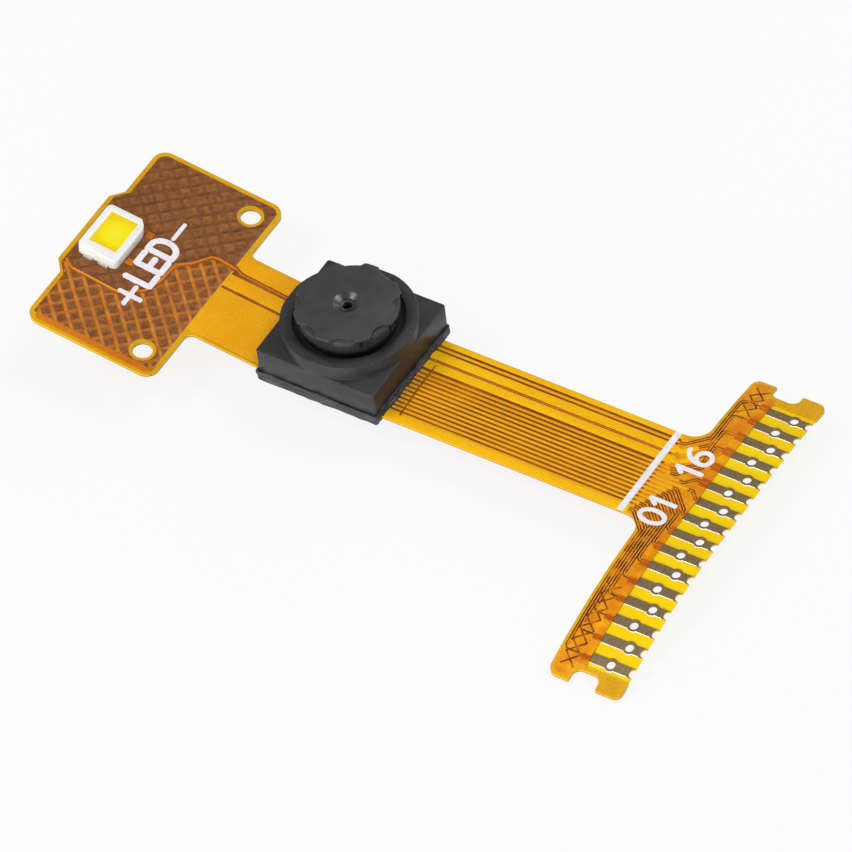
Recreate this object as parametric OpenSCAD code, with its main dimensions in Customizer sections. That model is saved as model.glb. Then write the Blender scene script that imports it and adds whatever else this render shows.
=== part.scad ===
// Camera module on a flexible printed circuit.
// X runs from the lamp head to the solder fingers, Z is the lens axis,
// and z = 0 is the underside of the stiffener plate below the camera.

/* [Film layers] */
// Thickness of the polyimide base
base_t = 0.05; // [0.03:0.01:0.1]
// Thickness of each copper layer
copper_t = 0.035; // [0.02:0.005:0.05]
// Thickness of each cover film above its copper
cover_t = 0.05; // [0.03:0.01:0.1]
// Thickness of the stiffener plate
stiffener_t = 0.2; // [0.1:0.05:0.5]
// Thickness of the white ink
ink_t = 0.02; // [0.015:0.005:0.04]

/* [Strip and neck] */
// Width of the strip and of the neck
strip_w = 6.4; // [6.2:0.1:7]
// Sideways place of the strip's centreline
strip_y = -0.25; // [-0.4:0.05:0]
// Length of the strip from the camera pad to the tail
strip_l = 16.9; // [12:0.5:40]
// Length of the neck from the camera pad to the head
neck_l = 4.7; // [3.5:0.1:10]
// Width of the white bar along the strip
bar_w = 0.4; // [0.3:0.05:1]
// Distance of the white bar from the tail
bar_gap = 1.3; // [1.2:0.1:3]

/* [Lamp head] */
// Length of the head
head_l = 8.25; // [7.5:0.05:12]
// Width of the head
head_w = 14.3; // [13.5:0.1:18]
// Corner radius of the head
head_r = 0.8; // [0.3:0.1:1.2]
// Fillet between the neck and the head
neck_r = 0.5; // [0.3:0.1:1]
// How far the outer tab stands past the head
tab_l = 0.6; // [0.3:0.1:1.5]
// Width of the outer tab at its end
tab_w = 5.3; // [4.5:0.1:6]
// Slanted shoulder of the outer tab
tab_slope = 0.75; // [0.3:0.05:1.5]
// Upward tilt of the neck and head, in degrees
head_tilt = 7.8; // [0:0.2:9]
// Diameter of the two fixing holes
fix_d = 1.15; // [0.8:0.05:1.5]
// Distance between the two fixing holes
fix_span = 11.35; // [10.5:0.05:11.6]
// Distance of the fixing holes from the head's inner edge
fix_inset = 1.45; // [1.2:0.05:1.6]

/* [Tail] */
// Size of the tail along the strip
tail_w = 4.6; // [4.4:0.1:6]
// Reach of the long arm from the strip's centreline
long_arm = 13.7; // [13:0.1:16]
// Reach of the short arm from the strip's centreline
short_arm = 8.9; // [8.4:0.1:12]
// Fillet between the strip and the tail
tail_fillet = 1.1; // [0.5:0.1:1.5]
// Corner radius at the arm ends
arm_r = 0.5; // [0.2:0.1:0.6]
// Width of the notch in each arm's end
notch_w = 1.7; // [1.2:0.1:2]
// Depth of the notch in each arm's end
notch_d = 0.8; // [0.6:0.05:1.1]
// Distance of the notch's centre from the tail's inner edge
notch_x = 2.2; // [2:0.05:2.4]
// Droop of the long arm's end
long_droop = 1.9; // [0:0.1:2.2]
// Droop of the short arm's end
short_droop = 0.5; // [0:0.1:1]

/* [Solder fingers] */
// Number of fingers
finger_n = 16; // [16:1:16]
// Pitch of the fingers
finger_pitch = 1.27; // [1.2:0.01:1.28]
// Width of a finger
finger_w = 0.57; // [0.4:0.01:0.65]
// Length of a finger outside the cover film
finger_l = 2.7; // [2.5:0.1:2.8]
// Sideways place of the row's centre
finger_row_y = -2.8; // [-3:0.05:-2.6]
// Diameter of the finished finger holes
finger_hole_d = 0.5; // [0.4:0.02:0.56]
// Diameter of the half holes at the edge
edge_hole_d = 0.56; // [0.4:0.02:0.6]
// Wall of the plating in the holes
plating_t = 0.03; // [0.02:0.005:0.05]
// Ring of copper around each hole
ring_w = 0.14; // [0.1:0.01:0.2]
// Distance of the outer hole column from the edge
far_hole_x = 1; // [0.9:0.05:1.2]
// Distance of the inner hole column from the edge
near_hole_x = 1.45; // [1.4:0.05:1.8]

/* [Copper] */
// Pitch of the narrow conductors
signal_pitch = 0.3; // [0.28:0.01:0.31]
// Width of the narrow conductors
signal_w = 0.13; // [0.08:0.01:0.16]
// Width of the two power conductors
power_w = 0.58; // [0.4:0.02:0.6]
// Width of the outermost conductor on the long arm's side
ground_w = 0.3; // [0.2:0.02:0.34]
// Distance of the guard conductor from the short arm's edge of the strip
guard_in = 0.63; // [0.6:0.01:0.66]
// Distance of the first power conductor from the same edge
power_in = 1.15; // [1.12:0.01:1.18]
// Pitch of the two power conductors
power_pitch = 0.78; // [0.74:0.01:0.8]
// Distance of the first narrow conductor from the same edge
signal_in = 2.5; // [2.46:0.01:2.55]
// Distance of the outermost conductor from the long arm's edge of the strip
ground_in = 0.3; // [0.26:0.01:0.32]
// Width of the conductors in the tail
fan_w = 0.09; // [0.06:0.01:0.1]
// Pitch of the conductors along the tail's arms
fan_pitch = 0.17; // [0.15:0.01:0.18]
// Pitch of the copper lattice in the head
lattice_pitch = 0.73; // [0.7:0.01:1]
// Width of the lattice's lines
lattice_w = 0.2; // [0.12:0.02:0.3]
// Bare margin between copper and film edge
copper_margin = 0.25; // [0.2:0.05:0.35]

/* [Lens holder] */
// Side of the square block
holder_side = 7.7; // [7.5:0.1:8.5]
// Height of the square block
holder_h = 1.75; // [1.7:0.05:2.5]
// Corner radius of the square block
holder_r = 0.15; // [0.05:0.05:0.3]
// Flat film between the glue wall and the neck's bend
pad_margin = 0.02; // [0.02:0.01:0.1]
// How far the film's and stiffener's edges lie under the block
pad_tuck = 0.06; // [0.02:0.01:0.12]
// Outer diameter of the tube
tube_od = 7.8; // [7.6:0.1:8.2]
// Height of the tube above the block
tube_h = 0.9; // [0.6:0.05:1.5]
// Inner diameter of the tube's mouth
tube_id = 6.35; // [6.3:0.05:6.6]
// Side of the square cavity over the sensor
cavity_side = 6.3; // [6.2:0.1:6.5]
// Height of the cavity
cavity_h = 0.93; // [0.9:0.01:1]
// Thickness of the glue line under the block
glue_t = 0.13; // [0.08:0.01:0.2]
// Size of the glue fillet on the film
glue_fillet = 0.15; // [0.1:0.01:0.3]
// Wall of the glue that covers the film's edges around the block
glue_wall = 0.08; // [0.04:0.01:0.09]
// Height to which that glue climbs up the block
glue_climb = 0.1; // [0.05:0.01:0.3]

/* [Lens barrel] */
// Diameter of the round flange
flange_d = 5.88; // [5.7:0.02:6]
// Height of the flange
flange_h = 0.72; // [0.5:0.02:0.9]
// Chamfer below the flange
flange_chamfer = 0.1; // [0.05:0.01:0.2]
// Diameter of the scalloped top over its lobes
lobe_d = 6.08; // [6.02:0.02:6.3]
// Thickness of the scalloped top
lobe_h = 0.2; // [0.12:0.02:0.4]
// Number of scallops
scallop_n = 8; // [6:1:12]
// Depth of each scallop
scallop_depth = 0.4; // [0.3:0.02:0.5]
// Radius of each scallop
scallop_r = 1.05; // [0.9:0.05:1.6]
// Gap between the tube's rim and the flange's underside
flange_gap = 0.27; // [0.2:0.01:0.5]
// Depth of the tube's wide mouth
mouth_h = 0.45; // [0.2:0.05:0.6]
// Diameter of the threaded body
thread_d = 5.3; // [5.2:0.05:5.4]
// Diameter of the bore that holds the lenses
lens_d = 4.2; // [4:0.05:4.4]
// Diameter of the light opening
aperture_d = 0.56; // [0.3:0.02:1]
// Diameter of the conical recess around the opening
recess_d = 1.6; // [1.2:0.1:2.4]
// Depth of the conical recess
recess_h = 0.3; // [0.2:0.02:0.34]
// Wall above the front lens
barrel_roof = 0.55; // [0.5:0.01:0.7]

/* [Optics and sensor] */
// Thickness of the front lens at its rim
front_lens_t = 0.5; // [0.4:0.02:0.6]
// Thickness of the spacer ring
spacer_t = 0.25; // [0.15:0.01:0.4]
// Thickness of the rear lens at its rim
rear_lens_t = 0.5; // [0.4:0.02:0.6]
// Thickness of the retaining ring
retainer_t = 0.25; // [0.15:0.01:0.35]
// Side of the filter glass
filter_side = 4.8; // [4.6:0.1:5]
// Thickness of the filter glass
filter_t = 0.3; // [0.2:0.02:0.35]
// Length of the sensor package
sensor_l = 5.2; // [4.8:0.1:5.4]
// Width of the sensor package
sensor_w = 4.5; // [4.2:0.1:4.6]
// Thickness of the sensor die
die_t = 0.25; // [0.15:0.01:0.3]
// Thickness of the sensor's glass lid
lid_t = 0.4; // [0.3:0.02:0.45]
// Diameter of the solder balls
ball_d = 0.28; // [0.2:0.02:0.3]
// Pitch of the solder balls
ball_pitch = 0.9; // [0.8:0.05:0.95]
// Length of a capacitor
cap_l = 1; // [0.8:0.1:1.2]
// Width and height of a capacitor
cap_w = 0.5; // [0.4:0.05:0.55]
// Length of a capacitor's metal end
cap_end = 0.25; // [0.2:0.01:0.3]

/* [Lamp] */
// Size of the lamp along the head
lamp_w = 2.6; // [2.4:0.1:3]
// Size of the lamp across the head
lamp_l = 3.45; // [3.2:0.05:3.8]
// Height of the lamp's housing
lamp_h = 0.72; // [0.6:0.02:1]
// Place of the lamp's centre from the head's outer edge
lamp_x = 1.3; // [1.1:0.05:2]
// Sideways place of the lamp's centre from the strip's centreline
lamp_y = 0; // [-0.3:0.05:0.3]
// Length of the yellow window
window_l = 2.4; // [2.2:0.05:2.6]
// Width of the yellow window
window_w = 1.75; // [1.5:0.05:2]
// Offset of the window from the lamp's centre
window_y = 0.1; // [0:0.02:0.12]
// Thickness of the lead frame
lead_t = 0.15; // [0.1:0.01:0.2]
// Width of a lead
lead_w = 0.6; // [0.5:0.05:0.7]
// How far a lead stands out of the housing
lead_out = 0.14; // [0.08:0.01:0.2]
// Chamfer at the cathode corner
lamp_chamfer = 0.45; // [0.2:0.05:0.6]
// Distance of each lead's centre from the lamp's centreline
lead_x = 0.5; // [0.42:0.02:0.6]
// Side of the light-emitting die
die_w = 0.9; // [0.6:0.05:1]
// Thickness of the light-emitting die
die_h = 0.12; // [0.08:0.01:0.2]
// Thickness of the solder under the leads
solder_t = 0.03; // [0.02:0.005:0.05]

/* [Hidden] */
$fn = 64;

// Heights of the film stack, from the underside up
z_back = stiffener_t;
z_back_cu = z_back + cover_t;
z_base = z_back_cu + copper_t;
z_cu = z_base + base_t;
z_cover = z_cu + copper_t;
z_top = z_cover + cover_t;

// Plan of the film
glue_half = holder_side / 2 + glue_wall;
pad_x = glue_half + pad_margin;
pad_half = holder_side / 2 - pad_tuck;
strip_lo = strip_y - strip_w / 2;
strip_hi = strip_y + strip_w / 2;
tail_x0 = pad_x + strip_l;
tail_x1 = tail_x0 + tail_w;
tail_lo = strip_y - long_arm;
tail_hi = strip_y + short_arm;
finger_x0 = tail_x1 - finger_l;
head_x1 = -pad_x - neck_l;
head_x0 = head_x1 - head_l;
head_lo = strip_y - head_w / 2;
head_hi = strip_y + head_w / 2;
fix_x = head_x1 - fix_inset;
bar_x = tail_x0 - bar_gap - bar_w;

// Lines where the film starts to bend, and how far the bent sheets reach past the film
bend_x = -pad_x;
split_x = tail_x0 - tail_fillet;
reach = 3;
droop_steps = 6;

// Copper of the neck and head
up_n = 6;
neck_in = sensor_l / 2 + 0.35;
feed_w = 0.18;
feed_gap = 0.1;
feed_y = strip_hi - 1.45;
field_split = strip_hi - 2.65;
field_x0 = head_x1 - copper_margin + feed_gap;
field_margin = 0.1;
front_shift = -0.2;
back_shift = front_shift + lattice_pitch * sqrt(2) / 2;
arm_end = 1.3;
lamp_px = head_x0 + lamp_x;
lamp_cy = strip_y + lamp_y;
land_l = lamp_w + 0.6;
land_w = 1.1;
land_y = lamp_l / 2 - 0.27;
lamp_lift = cover_t * cos(head_tilt) + solder_t;

// Places on the camera block
z_foot = z_top + glue_t;
z_block = z_foot + holder_h;
z_rim = z_block + tube_h;
z_cavity = z_foot + cavity_h;
filter_gap = 0.05;
filter_seat = filter_t + filter_gap;
thread_gap = 0.01;
z_flange = z_rim + flange_gap;
z_lobes = z_flange + flange_h;
z_barrel = z_lobes + lobe_h;
z_lens = z_barrel - barrel_roof;
z_spacer = z_lens - front_lens_t;
z_rear = z_spacer - spacer_t;
z_retainer = z_rear - rear_lens_t;
skirt = 0.3;
glue_foot = 0.04;
glue_bite = 0.01;
z_barrel_foot = z_retainer - retainer_t - skirt;
glass_r = lens_d / 2 - 0.02;
bulge_r = 1.4;
bulge_h = 0.12;
bulge_gap = 0.1;
lobe_angle = 4;
notch_angles = [-43, -4];
flange_notch = 0.22;

// Places on the sensor and in the lamp
ball_cols = 5;
ball_rows = 4;
ball_h = 0.2;
cap_x = 1.2;
cap_y = sensor_w / 2 + cap_w / 2 + 0.12;
die_y = 0.3;
cathode_y = die_y - die_w / 2 - 0.05;
anode_y = 0.15 - cathode_y;
fill_gap = 0.02;

function finger_y(i) = finger_row_y + ((finger_n - 1) / 2 - i) * finger_pitch;
function finger_hole_x(i) = tail_x1 - (i % 2 == 0 ? far_hole_x : near_hole_x);

// Conductors of the strip, counted from the short arm's side
function conductor_y(i) =
  i == 0 ? strip_hi - guard_in :
  i < 3 ? strip_hi - power_in - (i - 1) * power_pitch :
  i < finger_n - 1 ? strip_hi - signal_in - (i - 3) * signal_pitch :
  strip_lo + ground_in;
function conductor_w(i) =
  i == 0 ? signal_w :
  i < 3 ? power_w :
  i < finger_n - 1 ? signal_w :
  ground_w;
function is_power(i) = i == 1 || i == 2 || i == finger_n - 1;

// Column in which a conductor runs along its arm, nearest the inner edge for the last finger
function fan_rank(i) = i < up_n ? i : finger_n - 1 - i;
function fan_x(i) = tail_x0 + copper_margin + fan_w / 2 + fan_rank(i) * fan_pitch;

// Height of the drooping arms over their length
function arm_drop(y) =
  y < strip_lo ? -long_droop * pow((y - strip_lo) / (tail_lo - strip_lo), 2) :
  y > strip_hi ? -short_droop * pow((y - strip_hi) / (tail_hi - strip_hi), 2) : 0;

// Rectangle between two corners, with rounded corners if r is given
module slab(x0, y0, x1, y1, r = 0) {
  if (r > 0) {
    translate([x0 + r, y0]) square([x1 - x0 - 2 * r, y1 - y0]);
    translate([x0, y0 + r]) square([x1 - x0, y1 - y0 - 2 * r]);
    for (x = [x0 + r, x1 - r], y = [y0 + r, y1 - r])
      translate([x, y]) circle(r);
  } else {
    translate([x0, y0]) square([x1 - x0, y1 - y0]);
  }
}

// Web that rounds an inner corner at (x, y) and reaches towards the signs sx and sy
module web(x, y, sx, sy, r) {
  difference() {
    translate([x + min(sx * r, 0), y + min(sy * r, 0)]) square(r);
    translate([x + sx * r, y + sy * r]) circle(r);
  }
}

// Straight run of copper from p to q
module run(p, q, w) {
  d = (q - p) / norm(q - p) * w / 2;
  n = [-d[1], d[0]];
  polygon([p - d - n, q + d - n, q + d + n, p - d + n]);
}

// Bent sheet between two heights: tilted along the neck and head, drooping along the arms
module sheet(z0, z1) {
  far_x = head_x0 - tab_l - reach;
  rise = (bend_x - far_x) * tan(head_tilt);
  wide = head_w + 2 * reach;
  translate([0, strip_y + wide / 2, 0]) rotate([90, 0, 0]) linear_extrude(wide)
    polygon([
      [split_x, z0], [split_x, z1], [bend_x, z1],
      [far_x, z1 + rise], [far_x, z0 + rise], [bend_x, z0]
    ]);
  low = [for (k = [droop_steps:-1:1]) strip_lo + (tail_lo - strip_lo) * k / droop_steps];
  high = [for (k = [2:2:droop_steps]) strip_hi + (tail_hi - strip_hi) * k / droop_steps];
  ys = concat([tail_lo - 0.01], low, [strip_lo, strip_hi], high, [tail_hi + 0.01]);
  lower = [for (y = ys) [y, z0 + arm_drop(y)]];
  upper = [for (k = [len(ys) - 1:-1:0]) [ys[k], z1 + arm_drop(ys[k])]];
  translate([split_x, 0, 0]) rotate([90, 0, 90]) linear_extrude(tail_x1 - split_x + reach)
    polygon(concat(lower, upper));
}

// Gives a flat outline the thickness and the bends of one film layer
module layer(z0, z1) {
  intersection() {
    translate([0, 0, -2 * reach]) linear_extrude(5 * reach) children();
    sheet(z0, z1);
  }
}

module arm_notch(y, s) {
  cx = tail_x0 + notch_x;
  low = s > 0 ? y - notch_d : y - reach;
  high = s > 0 ? y + reach : y + notch_d;
  slab(cx - notch_w / 2, low, cx + notch_w / 2, high, arm_r);
}

module fix_holes(grow) {
  for (s = [-1, 1])
    translate([fix_x, strip_y + s * fix_span / 2]) circle(d = fix_d + 2 * grow);
}

// Square of film and stiffener below the block
module pad_plan() {
  slab(-pad_half, -pad_half, pad_half, pad_half, holder_r);
}

// Head with round corners and a trapezoid tab on its outer edge
module head_plan() {
  near_y = tab_w / 2 + tab_slope;
  translate([head_x0 + head_r, head_lo]) square([head_l - 2 * head_r, head_w]);
  polygon([
    [head_x0, head_lo + head_r], [head_x1, head_lo + head_r], [head_x1, head_hi - head_r],
    [head_x0, head_hi - head_r], [head_x0, strip_y + near_y], [head_x0 - tab_l, strip_y + tab_w / 2],
    [head_x0 - tab_l, strip_y - tab_w / 2], [head_x0, strip_y - near_y]
  ]);
  for (x = [head_x0 + head_r, head_x1 - head_r], y = [head_lo + head_r, head_hi - head_r])
    translate([x, y]) circle(head_r);
}

// The film's outline
module outline() {
  difference() {
    union() {
      head_plan();
      slab(head_x1 - head_r, strip_lo, tail_x0 + arm_r, strip_hi);
      pad_plan();
      slab(tail_x0, tail_lo, tail_x1, tail_hi, arm_r);
      web(head_x1, strip_hi, 1, 1, neck_r);
      web(head_x1, strip_lo, 1, -1, neck_r);
      web(tail_x0, strip_hi, -1, 1, tail_fillet);
      web(tail_x0, strip_lo, -1, -1, tail_fillet);
    }
    arm_notch(tail_lo, -1);
    arm_notch(tail_hi, 1);
    fix_holes(0);
  }
}

// Window in the cover films over the fingers
module finger_window() {
  half = finger_pitch / 2;
  slab(finger_x0, finger_y(finger_n - 1) - half, tail_x1 + reach, finger_y(0) + half);
}

module base_film() {
  color("#e6a817") layer(z_base, z_cu) difference() {
    outline();
    for (i = [0:finger_n - 1]) {
      translate([finger_hole_x(i), finger_y(i)]) circle(d = finger_hole_d + 2 * plating_t);
      translate([tail_x1, finger_y(i)]) circle(d = edge_hole_d);
    }
  }
}

// One conductor from the camera pad through the strip and its arm to its finger
module conductor(i) {
  y = conductor_y(i);
  fy = finger_y(i);
  turn = fan_x(i);
  s = fy > y ? 1 : -1;
  lead = min(tail_fillet, abs(fy - y));
  start = [neck_in, y];
  bend = [turn - lead, y];
  column = [turn, y + s * lead];
  run(start, bend, conductor_w(i));
  run(bend, column, fan_w);
  if (abs(fy - y) > lead) run(column, [turn, fy], fan_w);
  run([turn, fy], [finger_x0 - fan_w / 2, fy], fan_w);
}

module signal_traces() {
  color("#d98a1c") layer(z_cu, z_cover)
    for (i = [0:finger_n - 1]) if (!is_power(i)) conductor(i);
}

module power_traces() {
  color("#e09420") layer(z_cu, z_cover)
    for (i = [0:finger_n - 1]) if (is_power(i)) conductor(i);
}

// Copper lands under the lamp's leads
module lamp_lands(grow) {
  for (s = [-1, 1])
    slab(
      lamp_px - land_l / 2 - grow, lamp_cy + s * land_y - land_w / 2 - grow,
      lamp_px + land_l / 2 + grow, lamp_cy + s * land_y + land_w / 2 + grow
    );
}

module feed_line(w) {
  knee = head_x1 - 1.3;
  low = lamp_cy + land_y;
  run([-neck_in, feed_y], [knee, feed_y], w);
  run([knee, feed_y], [knee - (feed_y - low), low], w);
  run([knee - (feed_y - low), low], [lamp_px + land_l / 2, low], w);
}

module led_traces() {
  color("#d08018") layer(z_cu, z_cover) {
    slab(field_x0, feed_y + feed_w / 2 + feed_gap, -neck_in, strip_hi - copper_margin);
    slab(field_x0, field_split + feed_gap / 2, -neck_in, feed_y - feed_w / 2 - feed_gap);
    slab(field_x0, strip_lo + copper_margin, -neck_in, field_split - feed_gap / 2);
    feed_line(feed_w);
    lamp_lands(0);
  }
}

// Diagonal lattice of copper with open cells; shift moves the cells along X
module lattice(shift) {
  cell = lattice_pitch - lattice_w;
  step = lattice_pitch * sqrt(2) / 2;
  nx = floor(head_l / step / 2) + 1;
  ny = floor(head_w / step / 2) + 1;
  cx = (head_x0 + head_x1) / 2 + shift;
  difference() {
    slab(
      head_x0 + copper_margin, head_lo + copper_margin,
      head_x1 - copper_margin, head_hi - copper_margin, head_r - copper_margin
    );
    for (i = [-nx:nx], j = [-ny:ny])
      if (abs((i + j) % 2) == 0)
        translate([cx + i * step, strip_y + j * step]) rotate(45) square(cell, center = true);
    fix_holes(copper_margin);
  }
}

module head_hatch() {
  color("#b06a1c") layer(z_cu, z_cover) difference() {
    lattice(front_shift);
    feed_line(feed_w + 2 * feed_gap);
    lamp_lands(feed_gap);
  }
}

module back_copper() {
  color("#b06a1c") layer(z_back_cu, z_base) {
    lattice(back_shift);
    slab(field_x0, strip_lo + copper_margin, split_x, strip_hi - copper_margin);
  }
}

// Plan of one tinned finger
module finger_plan(i) {
  y = finger_y(i);
  difference() {
    union() {
      slab(finger_x0, y - finger_w / 2, tail_x1, y + finger_w / 2);
      translate([finger_hole_x(i), y]) circle(d = finger_hole_d + 2 * ring_w);
    }
    translate([finger_hole_x(i), y]) circle(d = finger_hole_d);
    translate([tail_x1, y]) circle(d = edge_hole_d);
  }
}

// Each finger lies on both faces and is joined through its plated hole
module solder_fingers() {
  color("#b9a574") {
    layer(z_cu, z_cover) for (i = [0:finger_n - 1]) finger_plan(i);
    layer(z_back_cu, z_base) for (i = [0:finger_n - 1]) finger_plan(i);
    layer(z_back_cu, z_cover) for (i = [0:finger_n - 1])
      translate([finger_hole_x(i), finger_y(i)]) difference() {
        circle(d = finger_hole_d + 2 * plating_t);
        circle(d = finger_hole_d);
      }
  }
}

// Areas that the copper fills, which the cover's glue layer leaves free
module copper_fields() {
  slab(head_x0 + copper_margin, head_lo + copper_margin, field_x0, head_hi - copper_margin);
  slab(field_x0 - copper_margin, strip_lo + field_margin, split_x, strip_hi - field_margin);
  polygon([
    [split_x, strip_lo + field_margin], [tail_x0 + field_margin, strip_lo - tail_fillet],
    [tail_x0 + field_margin, strip_hi + tail_fillet], [split_x, strip_hi - field_margin]
  ]);
  slab(tail_x0 + field_margin, tail_lo + arm_end, finger_x0, tail_hi - arm_end);
}

module cover_plan() {
  difference() {
    outline();
    finger_window();
  }
}

module sensor_window() {
  half = cavity_side / 2;
  slab(-half, -half, half, half);
}

module top_coverlay() {
  color("#cf7d12") {
    layer(z_cover, z_top) difference() {
      cover_plan();
      sensor_window();
      lamp_lands(0);
    }
    layer(z_cu, z_cover) difference() {
      cover_plan();
      copper_fields();
      lamp_lands(0);
      sensor_window();
    }
  }
}

module back_coverlay() {
  color("#cf7d12") {
    layer(z_back, z_back_cu) cover_plan();
    layer(z_back_cu, z_base) difference() {
      cover_plan();
      copper_fields();
    }
  }
}

module silkscreen_bar() {
  color("#f2f0f4") translate([bar_x, strip_lo, z_top]) cube([bar_w, strip_w, ink_t]);
}

module stiffener() {
  color("#d9c9a0") linear_extrude(stiffener_t) pad_plan();
}

module at_balls() {
  for (i = [0:ball_cols - 1], j = [0:ball_rows - 1])
    translate([(i - (ball_cols - 1) / 2) * ball_pitch, (j - (ball_rows - 1) / 2) * ball_pitch, z_cover])
      children();
}

module at_caps() {
  for (sx = [-1, 1], sy = [-1, 1])
    translate([sx * cap_x, sy * cap_y, z_cover]) children();
}

module sensor_pads() {
  color("#d8b46a") {
    at_balls() translate([0, 0, -copper_t]) cylinder(d = ball_d + 0.04, h = copper_t);
    at_caps() for (s = [-1, 1])
      translate([s * (cap_l - cap_end) / 2, 0, -copper_t / 2])
        cube([cap_end, cap_w, copper_t], center = true);
  }
}

module sensor_balls() {
  color("#c9ccd0") at_balls() intersection() {
    translate([0, 0, ball_h / 2]) sphere(d = ball_d);
    cylinder(d = 2 * ball_d, h = ball_h);
  }
}

module sensor_block(z, h) {
  translate([-sensor_l / 2, -sensor_w / 2, z]) cube([sensor_l, sensor_w, h]);
}

module sensor_die() {
  color("#3d4048") sensor_block(z_cover + ball_h, die_t);
}

module sensor_glass() {
  color("#b9d6dc") sensor_block(z_cover + ball_h + die_t, lid_t);
}

module capacitor_bodies() {
  color("#a8875c") at_caps() translate([0, 0, cap_w / 2])
    cube([cap_l - 2 * cap_end, cap_w, cap_w], center = true);
}

module capacitor_ends() {
  color("#c9ccd0") at_caps() for (s = [-1, 1])
    translate([s * (cap_l - cap_end) / 2, 0, cap_w / 2])
      cube([cap_end, cap_w, cap_w], center = true);
}

// Fillet of glue from the block's foot onto the film on the side with sign s
module glue_side(s, rise) {
  side = holder_side / 2;
  translate([0, strip_hi, 0]) rotate([90, 0, 0]) linear_extrude(strip_w)
    polygon([
      [s * side, z_foot], [s * side, z_foot + glue_fillet],
      [s * (pad_x + glue_fillet), z_top + rise], [s * pad_x, z_top], [s * side, z_top]
    ]);
}

module glue_plan() {
  slab(-glue_half, -glue_half, glue_half, glue_half, holder_r);
}

// Bed under the block, a wall around the film's cut edges and a collar on the block's foot
module holder_glue() {
  color("#4a4d55") {
    translate([0, 0, z_top]) linear_extrude(glue_t) difference() {
      glue_plan();
      sensor_window();
    }
    translate([0, 0, glue_foot]) linear_extrude(z_top - glue_foot + glue_bite) difference() {
      glue_plan();
      pad_plan();
      slab(-pad_x, strip_lo, pad_x, strip_hi);
    }
    translate([0, 0, z_foot - glue_bite]) linear_extrude(glue_climb + glue_bite) difference() {
      glue_plan();
      holder_plan();
    }
    glue_side(1, 0);
    glue_side(-1, glue_fillet * tan(head_tilt));
  }
}

module holder_plan() {
  half = holder_side / 2;
  slab(-half, -half, half, half, holder_r);
}

module lens_holder() {
  color("#2c2d30") difference() {
    union() {
      translate([0, 0, z_foot]) linear_extrude(holder_h) holder_plan();
      intersection() {
        translate([0, 0, z_block]) cylinder(d = tube_od, h = tube_h);
        translate([0, 0, z_foot]) linear_extrude(holder_h + tube_h + 1) holder_plan();
      }
    }
    translate([0, 0, z_foot - 1]) linear_extrude(cavity_h + 1) sensor_window();
    translate([0, 0, z_cavity + filter_seat / 2 - 0.5])
      cube([filter_side + 2 * filter_gap, filter_side + 2 * filter_gap, filter_seat + 1], center = true);
    translate([0, 0, z_cavity]) cylinder(d = thread_d + 2 * thread_gap, h = holder_h + tube_h);
    translate([0, 0, z_rim - mouth_h]) cylinder(d = tube_id, h = mouth_h + 1);
  }
}

module ir_filter() {
  color("#9fc4b4") translate([0, 0, z_cavity + filter_seat - filter_t / 2])
    cube([filter_side, filter_side, filter_t], center = true);
}

module lens_barrel() {
  color("#232427") {
    difference() {
      rotate_extrude() polygon([
        [lens_d / 2, z_barrel_foot], [thread_d / 2, z_barrel_foot], [thread_d / 2, z_flange],
        [flange_d / 2 - flange_chamfer, z_flange], [flange_d / 2, z_flange + flange_chamfer],
        [flange_d / 2, z_lobes], [recess_d / 2, z_lobes],
        [aperture_d / 2, z_barrel - recess_h], [aperture_d / 2, z_lens], [lens_d / 2, z_lens]
      ]);
      for (angle = notch_angles)
        rotate(angle) translate([flange_d / 2 - flange_notch, -flange_notch / 2, z_flange - 1])
          cube([1, flange_notch, flange_h + 1]);
    }
    difference() {
      translate([0, 0, z_lobes]) linear_extrude(lobe_h) difference() {
        circle(d = lobe_d);
        for (k = [0:scallop_n - 1])
          rotate((k + 0.5) * 360 / scallop_n + lobe_angle)
            translate([lobe_d / 2 - scallop_depth + scallop_r, 0]) circle(scallop_r);
      }
      recess();
    }
  }
}

// Cone that opens from the aperture to the barrel's face
module recess() {
  translate([0, 0, z_barrel - recess_h]) cylinder(d1 = aperture_d, d2 = recess_d, h = recess_h);
}

// Lens with a flat top and a convex underside that reaches into the ring below it
module lens(z, t) {
  radius = (pow(bulge_r, 2) + pow(bulge_h, 2)) / (2 * bulge_h);
  translate([0, 0, z]) cylinder(r = glass_r, h = t);
  intersection() {
    translate([0, 0, z - bulge_h + radius]) sphere(r = radius, $fn = 200);
    translate([0, 0, z - bulge_h]) cylinder(r = glass_r, h = bulge_h);
  }
}

// Ring between z and z + t that fits the barrel's bore
module ring(z, t) {
  translate([0, 0, z]) difference() {
    cylinder(r = glass_r, h = t);
    translate([0, 0, -1]) cylinder(r = bulge_r + bulge_gap, h = t + 2);
  }
}

module front_lens() {
  color("#c4dbe6") lens(z_spacer, front_lens_t);
}

module lens_spacer() {
  color("#1c1c1e") ring(z_rear, spacer_t);
}

module rear_lens() {
  color("#c4dbe6") lens(z_retainer, rear_lens_t);
}

module retaining_ring() {
  color("#1c1c1e") ring(z_retainer - retainer_t, retainer_t);
}

// Places a lamp part on the copper lands of the tilted head
module on_head() {
  translate([bend_x, 0, z_cover]) rotate([0, head_tilt, 0])
    translate([(lamp_px - bend_x) / cos(head_tilt), lamp_cy, 0]) children();
}

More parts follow.
